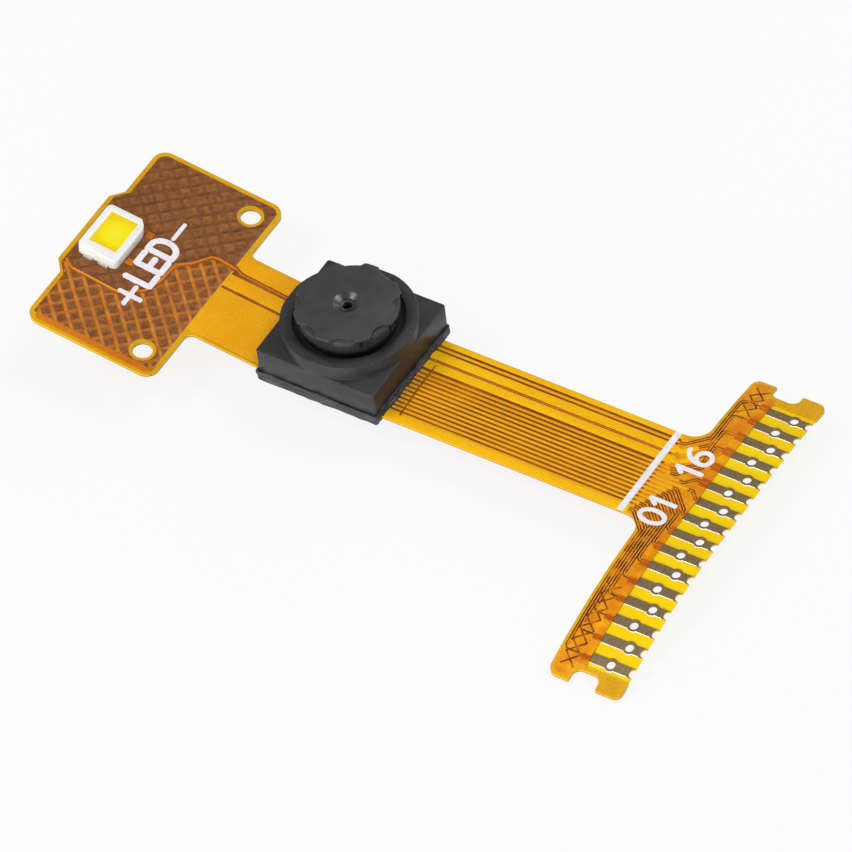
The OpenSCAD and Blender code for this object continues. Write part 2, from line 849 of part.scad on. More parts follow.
// Lead frame of one polarity: two leads outside and one plate inside, towards the side s
module lead_frame(s, inner_y) {
  tip = lamp_l / 2 + lead_out;
  plate_w = 2 * lead_x + lead_w;
  edge = lamp_l / 2 - 0.3;
  translate([0, 0, lamp_lift]) {
    translate([-plate_w / 2, min(s * inner_y, s * edge), 0]) cube([plate_w, edge - inner_y, lead_t]);
    for (x = [-lead_x, lead_x])
      translate([x - lead_w / 2, min(s * edge, s * tip), 0]) cube([lead_w, tip - edge, lead_t]);
  }
}

module led_anode() {
  color("#cfcfc8") on_head() lead_frame(-1, anode_y);
}

module led_cathode() {
  color("#cfcfc8") on_head() lead_frame(1, cathode_y);
}

module lamp_window(z, h) {
  translate([0, window_y, z + h / 2]) cube([window_w, window_l, h], center = true);
}

module led_housing() {
  color("#f4f4f0") on_head() difference() {
    translate([0, 0, lamp_lift]) linear_extrude(lamp_h) polygon([
      [-lamp_w / 2, -lamp_l / 2], [lamp_w / 2, -lamp_l / 2], [lamp_w / 2, lamp_l / 2 - lamp_chamfer],
      [lamp_w / 2 - lamp_chamfer, lamp_l / 2], [-lamp_w / 2, lamp_l / 2]
    ]);
    lamp_window(lamp_lift + lead_t, lamp_h);
    lead_frame(-1, anode_y);
    lead_frame(1, cathode_y);
  }
}

module led_die() {
  color("#6a8bc0") on_head() translate([0, die_y, lamp_lift + lead_t + die_h / 2])
    cube([die_w, die_w, die_h], center = true);
}

module led_phosphor() {
  color("#f4e400") on_head() difference() {
    lamp_window(lamp_lift + lead_t, lamp_h - lead_t - fill_gap);
    translate([0, die_y, lamp_lift + lead_t + die_h / 2]) cube([die_w, die_w, die_h], center = true);
  }
}

module led_solder() {
  color("#c9ccd0") on_head() for (s = [-1, 1], x = [-lead_x, lead_x])
    translate([x, s * (lamp_l / 2 - 0.1), lamp_lift / 2])
      cube([lead_w, 2 * (lead_out + 0.1), lamp_lift], center = true);
}

base_film();
power_traces();
signal_traces();
led_traces();
head_hatch();
solder_fingers();
back_copper();
top_coverlay();
back_coverlay();
silkscreen_bar();
stiffener();
sensor_pads();
sensor_balls();
sensor_die();
sensor_glass();
capacitor_bodies();
capacitor_ends();
holder_glue();
lens_holder();
ir_filter();
lens_barrel();
front_lens();
lens_spacer();
rear_lens();
retaining_ring();
led_housing();
led_anode();
led_cathode();
led_die();
led_phosphor();
led_solder();
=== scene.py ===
import math

import bmesh
import bpy
import numpy as np
from mathutils import Matrix, Vector, noise


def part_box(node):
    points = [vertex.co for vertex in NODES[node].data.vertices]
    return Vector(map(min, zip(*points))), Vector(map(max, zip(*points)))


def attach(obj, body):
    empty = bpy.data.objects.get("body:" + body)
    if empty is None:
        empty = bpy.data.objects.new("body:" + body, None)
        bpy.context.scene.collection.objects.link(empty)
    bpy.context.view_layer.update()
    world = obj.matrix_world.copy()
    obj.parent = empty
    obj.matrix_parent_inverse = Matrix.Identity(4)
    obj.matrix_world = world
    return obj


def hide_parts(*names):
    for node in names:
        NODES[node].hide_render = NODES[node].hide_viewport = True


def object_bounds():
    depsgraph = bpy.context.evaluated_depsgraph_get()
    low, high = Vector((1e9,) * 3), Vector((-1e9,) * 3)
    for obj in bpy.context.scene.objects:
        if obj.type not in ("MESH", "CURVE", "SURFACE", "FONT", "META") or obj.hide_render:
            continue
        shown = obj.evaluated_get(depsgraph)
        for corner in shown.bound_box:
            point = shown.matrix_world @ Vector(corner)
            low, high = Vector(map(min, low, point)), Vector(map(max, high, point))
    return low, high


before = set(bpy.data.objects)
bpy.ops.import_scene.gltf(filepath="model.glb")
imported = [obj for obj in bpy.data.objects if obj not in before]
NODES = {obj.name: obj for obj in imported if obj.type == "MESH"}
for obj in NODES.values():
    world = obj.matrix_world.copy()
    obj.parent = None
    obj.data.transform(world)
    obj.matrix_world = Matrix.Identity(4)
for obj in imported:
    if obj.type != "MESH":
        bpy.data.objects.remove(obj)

CAD_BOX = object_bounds()
MM = 0.001


def mm_box(node):
    low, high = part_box(node)
    return [c / MM for c in low], [c / MM for c in high]


# ---------------------------------------------------------------- sizes, in mm
FILM_LO, FILM_HI = mm_box("top_coverlay")
HOLDER_HI = mm_box("lens_holder")[1]
BARREL_HI = mm_box("lens_barrel")[1]
BAR_LO, BAR_HI = mm_box("silkscreen_bar")
HATCH_LO, HATCH_HI = mm_box("head_hatch")

Z_TOP = BAR_LO[2]
STRIP_LO, STRIP_HI = BAR_LO[1], BAR_HI[1]
MID_Y = (STRIP_LO + STRIP_HI) / 2
TAIL_LO, TAIL_HI = FILM_LO[1], FILM_HI[1]
TAIL_X1 = FILM_HI[0]
TAIL_X0 = TAIL_X1 - 4.6
TAIL_FILLET = 1.1
SPLIT_X = TAIL_X0 - TAIL_FILLET
PAD_X = HOLDER_HI[0] + 0.1
BEND_X = -PAD_X
MARGIN = 0.25
HEAD_X0, HEAD_X1 = HATCH_LO[0] - MARGIN, HATCH_HI[0] + MARGIN
HEAD_LO = HATCH_LO[1] - MARGIN
TAB_X = FILM_LO[0]
TAB_W, TAB_SLOPE, TAB_L = 5.3, 0.75, 0.6
HEAD_R, ARM_R = 0.8, 0.5
TILT = math.tan(math.radians(7.8))
LONG_DROOP, SHORT_DROOP, DROOP_STEPS = 1.9, 0.5, 6
FIX_X, FIX_SPAN, FIX_R = HEAD_X1 - 1.45, 11.35, 0.575
FINGER_N, FINGER_PITCH, FINGER_W, FINGER_X0 = 16, 1.27, 0.57, TAIL_X1 - 2.7
FINGER_MID = -2.8
HOLE_R, RING = 0.25, 0.14
NOTCH_X, NOTCH_W, NOTCH_D = TAIL_X0 + 2.2, 1.7, 0.8
LATTICE, LATTICE_W, LATTICE_SHIFT = 0.73, 0.2, -0.2
LAMP_X, LAMP_Y = HEAD_X0 + 1.3, MID_Y
LAND_MARK, LAND_MARKS = 0.42, ((-14.04, 1.18), (-13.98, -1.02))
FAN_W, FAN_PITCH = 0.09, 0.17
CHEVRON = 0.75


def drop_at(y):
    if y < STRIP_LO:
        return -LONG_DROOP * ((y - STRIP_LO) / (TAIL_LO - STRIP_LO)) ** 2
    if y > STRIP_HI:
        return -SHORT_DROOP * ((y - STRIP_HI) / (TAIL_HI - STRIP_HI)) ** 2
    return 0.0


KNOTS = [STRIP_LO + (TAIL_LO - STRIP_LO) * k / DROOP_STEPS for k in range(DROOP_STEPS, 0, -1)]
KNOTS += [STRIP_LO, STRIP_HI]
KNOTS += [STRIP_HI + (TAIL_HI - STRIP_HI) * k / DROOP_STEPS for k in (2, 4, 6)]
DROPS = [drop_at(y) for y in KNOTS]


def warp(x, y):
    """Height of the bent film over its flat part."""
    if x < BEND_X:
        return (BEND_X - x) * TILT
    if x > SPLIT_X - 1e-6:
        return float(np.interp(y, KNOTS, DROPS))
    return 0.0


def finger_y(i):
    return FINGER_MID + ((FINGER_N - 1) / 2 - i) * FINGER_PITCH


def hole_x(i):
    return TAIL_X1 - (1.0 if i % 2 == 0 else 1.45)


# ---------------------------------------------------------------- materials
def lin(rgb):
    out = []
    for c in rgb:
        c = c / 255
        out.append(c / 12.92 if c <= 0.04045 else ((c + 0.055) / 1.055) ** 2.4)
    return (*out, 1.0)


class Shader:
    """A Principled material whose colour, roughness and bump come from nodes."""

    def __init__(self, name, rough=0.5, **sockets):
        self.mat = bpy.data.materials.new(name)
        self.mat.use_nodes = True
        self.nodes = self.mat.node_tree.nodes
        self.links = self.mat.node_tree.links
        self.bsdf = self.nodes["Principled BSDF"]
        self.bsdf.inputs["Roughness"].default_value = rough
        for key, value in sockets.items():
            self.bsdf.inputs[key.replace("_", " ")].default_value = value
        self.coord = self.nodes.new("ShaderNodeTexCoord").outputs["Object"]

    def add(self, kind, **props):
        node = self.nodes.new(kind)
        for key, value in props.items():
            setattr(node, key, value)
        return node

    def place(self, stretch=(1, 1, 1), turn=0.0):
        node = self.add("ShaderNodeMapping")
        node.inputs["Scale"].default_value = stretch
        node.inputs["Rotation"].default_value = (0, 0, turn)
        self.links.new(self.coord, node.inputs["Vector"])
        return node.outputs["Vector"]

    def noise(self, size, detail=3.0, rough=0.55, stretch=(1, 1, 1), turn=0.0, distort=0.0):
        """Noise with features of about size mm."""
        node = self.add("ShaderNodeTexNoise")
        node.inputs["Scale"].default_value = 1 / (size * MM)
        node.inputs["Detail"].default_value = detail
        node.inputs["Roughness"].default_value = rough
        node.inputs["Distortion"].default_value = distort
        self.links.new(self.place(stretch, turn), node.inputs["Vector"])
        return node.outputs["Fac"]

    def cells(self, size, feature="F1", stretch=(1, 1, 1)):
        node = self.add("ShaderNodeTexVoronoi", feature=feature)
        node.inputs["Scale"].default_value = 1 / (size * MM)
        self.links.new(self.place(stretch), node.inputs["Vector"])
        return node.outputs["Distance"]

    def math(self, op, a, b=None, c=None):
        node = self.add("ShaderNodeMath", operation=op)
        for k, v in enumerate((a, b, c)):
            if v is None:
                continue
            if isinstance(v, (int, float)):
                node.inputs[k].default_value = v
            else:
                self.links.new(v, node.inputs[k])
        return node.outputs[0]

    def parts(self, vector, name):
        node = self.add("ShaderNodeSeparateXYZ")
        self.links.new(vector, node.inputs[0])
        return node.outputs[name]

    def axis(self, name):
        return self.parts(self.coord, name)

    def spread(self, value, low, high, out_low=0.0, out_high=1.0, kind="SMOOTHSTEP"):
        node = self.add("ShaderNodeMapRange", interpolation_type=kind)
        for key, v in (("From Min", low), ("From Max", high), ("To Min", out_low), ("To Max", out_high)):
            node.inputs[key].default_value = v
        self.links.new(value, node.inputs["Value"])
        return node.outputs["Result"]

    def ramp(self, fac, stops):
        node = self.add("ShaderNodeValToRGB")
        ramp = node.color_ramp
        while len(ramp.elements) < len(stops):
            ramp.elements.new(0.5)
        for e, (pos, rgb) in zip(ramp.elements, stops):
            e.position = pos
            e.color = lin(rgb)
        self.links.new(fac, node.inputs["Fac"])
        return node.outputs["Color"]

    def mix(self, fac, a, b):
        node = self.add("ShaderNodeMix", data_type="RGBA")
        self.links.new(fac, node.inputs[0])
        for socket, v in ((node.inputs[6], a), (node.inputs[7], b)):
            if isinstance(v, (tuple, list)):
                socket.default_value = lin(v)
            else:
                self.links.new(v, socket)
        return node.outputs[2]

    def colour(self, out):
        self.links.new(out, self.bsdf.inputs["Base Color"])
        return self

    def roughness(self, out):
        self.links.new(out, self.bsdf.inputs["Roughness"])
        return self

    def bump(self, *layers):
        """layers are (height output, depth in mm)."""
        last = None
        for height, depth in layers:
            node = self.add("ShaderNodeBump")
            node.inputs["Strength"].default_value = 1.0
            node.inputs["Distance"].default_value = depth * MM
            self.links.new(height, node.inputs["Height"])
            if last is not None:
                self.links.new(last, node.inputs["Normal"])
            last = node.outputs["Normal"]
        self.links.new(last, self.bsdf.inputs["Normal"])
        return self


def film_shader(name, dark, mid, light, rough=0.3, grain=0.5, streak=(1, 1, 1), coat=0.06, patch=2.2):
    """Glossy polyimide film over whatever lies under it."""
    s = Shader(name, rough, Coat_Weight=coat, Coat_Roughness=0.12, Specular_IOR_Level=0.2)
    broad = s.noise(patch, 3, 0.5, streak)
    fine = s.noise(0.12, 4, 0.65, streak)
    both = s.math("MULTIPLY_ADD", fine, grain, s.math("MULTIPLY", broad, 1 - grain))
    s.colour(s.ramp(both, [(0.28, dark), (0.5, mid), (0.72, light)]))
    s.roughness(s.spread(fine, 0.3, 0.7, rough - 0.06, rough + 0.1))
    s.bump((s.noise(1.6, 2, 0.5), 0.02), (s.noise(0.07, 3, 0.6), 0.0025))
    return s.mat


def grid_distance(s, mid_x, mid_y, pitch):
    """Distance in mm from the nearest line of a lattice at 45 degrees."""
    x = s.math("DIVIDE", s.axis("X"), MM)
    y = s.math("DIVIDE", s.axis("Y"), MM)
    dx = s.math("SUBTRACT", x, mid_x)
    dy = s.math("SUBTRACT", y, mid_y)
    u = s.math("MULTIPLY", s.math("ADD", dx, dy), math.sqrt(0.5))
    v = s.math("MULTIPLY", s.math("SUBTRACT", dx, dy), math.sqrt(0.5))
    far_u = s.math("PINGPONG", u, pitch / 2)
    far_v = s.math("PINGPONG", v, pitch / 2)
    return s.math("SUBTRACT", pitch / 2, far_u), s.math("SUBTRACT", pitch / 2, far_v)


def lattice_shader(name, dark, mid, light, wire_dark, wire_light, cross, swap=False):
    """Copper lattice of the lamp head, seen through the cover film.

    cross is the second family's share, and swap makes the other family the strong one."""
    s = Shader(name, 0.4, Coat_Weight=0.06, Coat_Roughness=0.15, Specular_IOR_Level=0.28)
    near_u, near_v = grid_distance(s, (HEAD_X0 + HEAD_X1) / 2 + LATTICE_SHIFT, MID_Y, LATTICE)
    wobble = s.math("MULTIPLY", s.math("SUBTRACT", s.noise(0.35, 3), 0.5), 0.1)
    line_u = s.spread(s.math("ADD", near_u, wobble), 0.04, 0.15, 1, 0)
    line_v = s.spread(s.math("ADD", near_v, wobble), 0.04, 0.15, 1, 0)
    strong, faint = (line_v, line_u) if swap else (line_u, line_v)
    line = s.math("MAXIMUM", strong, s.math("MULTIPLY", faint, cross))
    line = s.math("MULTIPLY", line, s.spread(s.noise(1.4, 2), 0.3, 0.6, 0.55, 1.0))
    cell = s.ramp(s.noise(0.3, 4, 0.65), [(0.3, dark), (0.5, mid), (0.7, light)])
    wire = s.ramp(s.noise(0.5, 3), [(0.3, wire_dark), (0.6, wire_light)])
    s.colour(s.mix(line, cell, wire))
    s.bump((s.noise(0.9, 2), 0.02), (s.noise(0.09, 4, 0.7), 0.006))
    return s.mat


def plastic_shader(name, dark, mid, light, rough, grain=0.05, pits=0.004, dust=0.0, spec=0.5, polish=None):
    """Moulded plastic with an eroded grain, faint flow marks and a little dust."""
    s = Shader(name, rough, Specular_IOR_Level=spec)
    fine = s.noise(grain, 5, 0.7)
    flow = s.noise(1.3, 3, 0.5, (1, 1, 2.5))
    both = s.math("MULTIPLY_ADD", fine, 0.55, s.math("MULTIPLY", flow, 0.45))
    base = s.ramp(both, [(0.3, dark), (0.5, mid), (0.7, light)])
    if dust:
        spots = s.spread(s.cells(0.42), 0.12, 0.05)
        patches = s.spread(s.noise(1.1, 2), 0.52, 0.62)
        speck = s.math("MULTIPLY", spots, patches)
        base = s.mix(s.math("MULTIPLY", speck, dust), base, (150, 150, 152))
    s.colour(base)
    uneven = s.spread(fine, 0.3, 0.7, rough - 0.07, rough + 0.1)
    if polish is not None:
        slant = s.math("ABSOLUTE", s.parts(s.add("ShaderNodeNewGeometry").outputs["Normal"], "Z"))
        matt = s.spread(slant, 0.9, 0.98, polish, 1.0)
        uneven = s.math("MULTIPLY", uneven, matt)
    s.roughness(uneven)
    s.bump((fine, pits), (s.noise(0.5, 2), pits * 2))
    return s.mat


def metal_shader(name, dark, light, rough=0.35, metallic=0.8, size=0.12):
    s = Shader(name, rough, Metallic=metallic)
    patch = s.noise(size, 5, 0.65)
    s.colour(s.ramp(patch, [(0.3, dark), (0.7, light)]))
    s.roughness(s.spread(s.noise(size * 0.6, 3), 0.3, 0.7, rough - 0.1, rough + 0.15))
    s.bump((s.noise(size * 0.5, 4), 0.003))
    return s.mat


def glass_shader(name, tint, rough=0.03):
    s = Shader(name, rough, Transmission_Weight=1.0, IOR=1.5)
    s.colour(s.ramp(s.noise(3, 2), [(0.3, tint), (0.7, tuple(min(255, c + 12) for c in tint))]))
    return s.mat


def ink_shader():
    s = Shader("white_ink", 0.45, Coat_Weight=0.15, Coat_Roughness=0.2)
    thin = s.noise(0.3, 2, 0.5)
    s.colour(s.ramp(thin, [(0.3, (234, 231, 238)), (0.5, (242, 240, 246)), (0.7, (250, 249, 253))]))
    s.bump((s.noise(0.1, 3), 0.008))
    return s.mat


def phosphor_shader():
    s = Shader("phosphor", 0.4, Coat_Weight=0.15, Coat_Roughness=0.1, Specular_IOR_Level=0.25)
    low, high = mm_box("led_phosphor")
    mid = [(a + b) / 2 for a, b in zip(low, high)]
    x = s.math("SUBTRACT", s.math("DIVIDE", s.axis("X"), MM), mid[0] + 0.25)
    y = s.math("SUBTRACT", s.math("DIVIDE", s.axis("Y"), MM), mid[1] - 0.05)
    far = s.math("SQRT", s.math("ADD", s.math("MULTIPLY", x, x), s.math("MULTIPLY", y, y)))
    far = s.math("ADD", far, s.math("MULTIPLY", s.noise(0.3, 4, 0.7), 0.5))
    glow = [(0.0, (252, 240, 60)), (0.3, (252, 237, 8)), (0.7, (255, 234, 0)), (1.0, (246, 214, 6))]
    s.colour(s.ramp(s.spread(far, 0.2, 1.5), glow))
    s.bump((s.noise(0.12, 4), 0.006))
    return s.mat


M = {
    "film": film_shader("film_margin", (202, 142, 6), (222, 164, 10), (238, 184, 20), 0.3),
    # dark film in the conductor gaps, also used as painted shadow beside the lamp's raised feed line
    "gap": film_shader(
        "film_gap_and_feed_shadow", (106, 52, 2), (142, 74, 2), (190, 112, 6), 0.34, 0.25, (0.4, 1, 1), patch=0.9),
    "gold": film_shader(
        "film_over_copper", (222, 142, 4), (238, 164, 6), (250, 184, 12), 0.3, 0.4, (0.12, 1, 1)),
    "gold_wide": film_shader(
        "film_over_wide_copper", (236, 168, 2), (250, 188, 2), (255, 204, 16), 0.28, 0.45, (0.3, 1, 1)),
    "neck": film_shader("film_over_neck", (226, 152, 4), (240, 168, 6), (250, 184, 14), 0.3, 0.6),
    "tail": film_shader(
        "film_over_tail", (204, 108, 2), (230, 142, 4), (252, 184, 10), 0.3, 0.3, patch=0.9),
    "tail_gap": film_shader(
        "film_over_tail_gaps", (74, 34, 2), (124, 60, 4), (226, 136, 10), 0.3, 0.2, patch=0.5),
    "fan": film_shader("film_over_fan", (214, 122, 4), (234, 150, 10), (248, 176, 20), 0.28, 0.4),
    "tab": film_shader("film_over_tabs", (172, 74, 4), (194, 90, 6), (216, 118, 10), 0.3, 0.4),
    "orange": film_shader("film_over_feed", (190, 98, 10), (214, 120, 16), (232, 148, 32), 0.3),
    "back": film_shader("film_back", (178, 100, 4), (200, 120, 6), (216, 140, 10), 0.32),
    "bare": film_shader("film_bare", (240, 196, 2), (250, 210, 2), (255, 222, 10), 0.25),
    "tooth": metal_shader("pale_teeth", (212, 148, 40), (242, 192, 84), 0.4, 0.1),
    "lattice": lattice_shader(
        "head_lattice", (108, 60, 20), (136, 80, 30), (164, 104, 48), (188, 102, 22), (216, 132, 40), 0.55),
    "lattice_dark": lattice_shader(
        "head_lattice_dark", (116, 66, 28), (140, 84, 38), (164, 104, 50),
        (94, 54, 24), (120, 72, 32), 0.6, True),
    "ink": ink_shader(),
    "tin": metal_shader("tinned_fingers", (112, 92, 62), (158, 134, 98), 0.42, 0.55, 0.09),
    # painted highlight: near-white strip for the bright line along one side of each finger
    "painted_finger_highlight": metal_shader("painted_finger_highlight", (236, 226, 200), (255, 250, 236), 0.25, 0.2),
    "copper": metal_shader("copper", (178, 92, 20), (214, 124, 40), 0.4, 0.3),
    "gold_pad": metal_shader("gold_pads", (200, 160, 80), (226, 188, 104), 0.3),
    "solder": metal_shader("solder", (150, 150, 152), (206, 208, 212), 0.3),
    "lead": metal_shader("lamp_leads", (190, 188, 178), (232, 228, 214), 0.25, 0.4),
    "holder": plastic_shader(
        "holder_plastic", (31, 31, 33), (40, 40, 43), (53, 53, 56), 0.5, 0.05, 0.006, 0.4, 0.5, 0.8),
    "barrel": plastic_shader(
        "barrel_plastic", (42, 42, 44), (52, 52, 54), (66, 66, 68), 0.5, 0.04, 0.007, 0.15, 0.55, 0.3),
    "inner": plastic_shader("inner_plastic", (12, 12, 13), (18, 18, 19), (26, 26, 27), 0.6),
    "glue": plastic_shader("grey_glue", (32, 33, 36), (46, 48, 52), (92, 95, 100), 0.44, 0.12, 0.02, 0.6),
    "stiffener": plastic_shader("stiffener", (120, 74, 20), (146, 94, 28), (170, 114, 40), 0.5, 0.2),
    "silicon": plastic_shader("silicon", (44, 46, 54), (54, 57, 66), (66, 70, 80), 0.2, 0.3, 0.0008),
    "capacitor": plastic_shader("capacitor", (134, 106, 72), (160, 130, 90), (178, 150, 110), 0.5),
    "white": plastic_shader(
        "lamp_plastic", (240, 240, 237), (248, 248, 246), (253, 253, 252), 0.35, 0.08, 0.003),
    "die": plastic_shader("lamp_die", (86, 116, 168), (106, 138, 190), (130, 160, 206), 0.2),
    "phosphor": phosphor_shader(),
    "lens": glass_shader("lens_glass", (226, 236, 240)),
    "filter": glass_shader("filter_glass", (190, 220, 208)),
    "cover_glass": glass_shader("sensor_glass", (222, 232, 236)),
}

NODE_LOOK = {
    "base_film": "bare", "top_coverlay": "film", "back_coverlay": "back", "power_traces": "copper",
    "signal_traces": "copper", "led_traces": "copper", "head_hatch": "copper", "back_copper": "copper",
    "solder_fingers": "tin", "silkscreen_bar": "ink", "stiffener": "stiffener", "sensor_pads": "gold_pad",
    "sensor_balls": "solder", "sensor_die": "silicon", "sensor_glass": "cover_glass",
    "capacitor_bodies": "capacitor", "capacitor_ends": "solder", "holder_glue": "glue",
    "lens_holder": "holder", "ir_filter": "filter", "lens_barrel": "barrel", "front_lens": "lens",
    "lens_spacer": "inner", "rear_lens": "lens", "retaining_ring": "inner", "led_housing": "white",
    "led_anode": "lead", "led_cathode": "lead", "led_die": "die", "led_phosphor": "phosphor",
    "led_solder": "solder",
}
for node_name, look in NODE_LOOK.items():
    for material_slot in NODES[node_name].material_slots:
        material_slot.link = "OBJECT"
        material_slot.material = M[look]


# ---------------------------------------------------------------- mesh helpers
def piece_from(bm_or_mesh, name, look, replaces=(), smooth=None):
    if isinstance(bm_or_mesh, bmesh.types.BMesh):
        mesh = bpy.data.meshes.new(name)
        bm_or_mesh.to_mesh(mesh)
        bm_or_mesh.free()
    else:
        mesh = bm_or_mesh
    obj = bpy.data.objects.new(name, mesh)
    bpy.context.scene.collection.objects.link(obj)
    mesh.materials.clear()
    mesh.materials.append(M[look])
    if smooth is not None:
        mesh.shade_smooth()
        mesh.set_sharp_from_angle(angle=math.radians(smooth))
    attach(obj, "root")
    if replaces:
        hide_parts(*replaces)
    return obj


def arc(cx, cy, r, a0, a1, n=10):
    return [
        (cx + r * math.cos(math.radians(a0 + (a1 - a0) * k / n)),
         cy + r * math.sin(math.radians(a0 + (a1 - a0) * k / n)))
        for k in range(n + 1)
    ]


def add_plate(bm, loops, base, top):
    """Flat patch with the given outline loops that follows the bent film, base to top over it."""
    part = bmesh.new()
    for loop in loops:
        verts = [part.verts.new((x, y, top)) for x, y in loop]
        for a, b in zip(verts, verts[1:] + verts[:1]):
            part.edges.new((a, b))
    bmesh.ops.triangle_fill(part, edges=part.edges[:], use_beauty=True)
    for f in part.faces:
        if f.normal.z < 0:
            f.normal_flip()
    rim = [e for e in part.edges if e.is_boundary]
    wall = bmesh.ops.extrude_edge_only(part, edges=rim)
    for v in wall["geom"]:
        if isinstance(v, bmesh.types.BMVert):
            v.co.z = base
    cuts = [((0, y, 0), (0, 1, 0)) for y in KNOTS]
    cuts += [((x, 0, 0), (1, 0, 0)) for x in (SPLIT_X, BEND_X)]
    for co, no in cuts:
        geom = part.verts[:] + part.edges[:] + part.faces[:]
        bmesh.ops.bisect_plane(part, geom=geom, plane_co=co, plane_no=no, dist=1e-5)
    copy_into(bm, part)


def copy_into(bm, part):
    part.verts.ensure_lookup_table()
    new = []
    for v in part.verts:
        x, y, z = v.co
        new.append(bm.verts.new((x * MM, y * MM, (z + Z_TOP + warp(x, y)) * MM)))
    for f in part.faces:
        try:
            bm.faces.new([new[v.index] for v in f.verts])
        except ValueError:
            pass
    part.free()


def dense_path(path, step=0.7):
    """The path with a point wherever the film bends and at least one point a step."""
    out = [path[0]]
    for (x0, y0), (x1, y1) in zip(path, path[1:]):
        marks = {1.0}
        n = max(1, int(math.hypot(x1 - x0, y1 - y0) / step))
        marks.update(k / n for k in range(1, n))
        for y in KNOTS:
            if abs(y1 - y0) > 1e-6 and 0 < (y - y0) / (y1 - y0) < 1:
                marks.add((y - y0) / (y1 - y0))
        for x in (SPLIT_X, BEND_X):
            if abs(x1 - x0) > 1e-6 and 0 < (x - x0) / (x1 - x0) < 1:
                marks.add((x - x0) / (x1 - x0))
        last = 0.0
        for t in sorted(marks):
            if t - last > 1e-3:
                out.append((x0 + (x1 - x0) * t, y0 + (y1 - y0) * t))
                last = t
    return out


def add_ridge(bm, path, width, base, top, slope=0.03):
    """Low ridge along a path on the film, as the film lies over a conductor."""
    pts = [Vector(p) for p in dense_path(path)]
    rows = []
    for k, p in enumerate(pts):
        before = (p - pts[k - 1]).normalized() if k else (pts[1] - p).normalized()
        after = (pts[k + 1] - p).normalized() if k + 1 < len(pts) else before
        mid = (before + after).normalized()
        side = Vector((-mid.y, mid.x)) / max(0.5, mid.dot(before))
        row = []
        for off, z in (
            (-width / 2 - slope, base), (-width / 2, top - (top - base) * 0.25), (-width / 2 + slope, top),
            (width / 2 - slope, top), (width / 2, top - (top - base) * 0.25), (width / 2 + slope, base),
        ):
            q = p + side * off
            row.append(bm.verts.new((q.x * MM, q.y * MM, (Z_TOP + warp(p.x, p.y) + z) * MM)))
        rows.append(row)
    for a, b in zip(rows, rows[1:]):
        for j in range(5):
            bm.faces.new((a[j], b[j], b[j + 1], a[j + 1]))
    bm.faces.new(rows[0])
    bm.faces.new(rows[-1][::-1])


def smooth_runs(path, turn=50):
    """The path cut into runs at its sharp corners."""
    runs = [[path[0]]]
    for k in range(1, len(path)):
        runs[-1].append(path[k])
        if k + 1 < len(path):
            a = Vector(path[k]) - Vector(path[k - 1])
            b = Vector(path[k + 1]) - Vector(path[k])
            if math.degrees(a.angle(b)) > turn:
                runs.append([path[k]])
    return runs


def add_stroke(bm, path, width, base, top):
    """Printed stroke with round ends and joints, one ribbon for each smooth run."""
    for k, run in enumerate(smooth_runs(path)):
        add_ribbon(bm, run, width / 2, base, top + 0.0012 * k)


def add_ribbon(bm, path, r, base, top):
    pts = [Vector(p) for p in path]
    closed = (pts[0] - pts[-1]).length < 1e-6
    if closed:
        pts.pop()
    n = len(pts)

    def both(x, y):
        z = Z_TOP + warp(x, y)
        high, low = ((x * MM, y * MM, (z + h) * MM) for h in (top, base))
        return bm.verts.new(high), bm.verts.new(low)

    def wall(a, b):
        bm.faces.new((a[0], a[1], b[1], b[0]))

    rows, heads = [], []
    for k, p in enumerate(pts):
        before = (p - pts[k - 1]).normalized() if (k or closed) else (pts[1] - p).normalized()
        after = (pts[(k + 1) % n] - p).normalized() if (k + 1 < n or closed) else before
        mid = (before + after).normalized()
        side = Vector((-mid.y, mid.x)) * r / max(0.6, mid.dot(before))
        rows.append((both(*(p + side)), both(*(p - side))))
        heads.append(mid)
    pairs = list(zip(rows, rows[1:] + rows[:1] if closed else rows[1:]))
    for a, b in pairs:
        bm.faces.new((a[0][0], a[1][0], b[1][0], b[0][0]))
        wall(b[0], a[0])
        wall(a[1], b[1])
    if closed:
        return
    for p, row, head in ((pts[0], rows[0], -heads[0]), (pts[-1], rows[-1][::-1], heads[-1])):
        a0 = math.degrees(math.atan2(head.y, head.x))
        ring = [row[0]] + [both(*q) for q in arc(p.x, p.y, r, a0 - 90, a0 + 90, 12)[1:-1]] + [row[1]]
        bm.faces.new([v[0] for v in ring])
        for a, b in zip(ring, ring[1:]):
            wall(a, b)


def bevel(bm, edges, width, segments):
    bmesh.ops.bevel(
        bm, geom=edges, offset=width * MM, offset_type="OFFSET", segments=segments,
        profile=0.5, affect="EDGES", clamp_overlap=True,
    )


def sharp_edges(bm, angle):
    return [e for e in bm.edges if len(e.link_faces) == 2 and e.calc_face_angle(0) > math.radians(angle)]


def softened(node, width, corner=0.0, is_corner=None, angle=30):
    """Copy of a CAD node's mesh with rounded edges, and upright corners rounded more."""
    bm = bmesh.new()
    bm.from_mesh(NODES[node].data)
    bmesh.ops.remove_doubles(bm, verts=bm.verts[:], dist=1e-7)
    bmesh.ops.dissolve_limit(bm, angle_limit=math.radians(1.0), verts=bm.verts[:], edges=bm.edges[:])
    if corner:
        upright = [
            e for e in sharp_edges(bm, angle)
            if abs(e.verts[0].co.z - e.verts[1].co.z) > 0.9 * e.calc_length()
            and is_corner((e.verts[0].co + e.verts[1].co) / 2 / MM)
        ]
        bevel(bm, upright, corner, 5)
    bevel(bm, sharp_edges(bm, angle), width, 2)
    return bm


# ---------------------------------------------------------------- outlines on the film
def rounded(x0, y0, x1, y1, r, n=6):
    return (
        arc(x1 - r, y0 + r, r, -90, 0, n) + arc(x1 - r, y1 - r, r, 0, 90, n)
        + arc(x0 + r, y1 - r, r, 90, 180, n) + arc(x0 + r, y0 + r, r, 180, 270, n)
    )


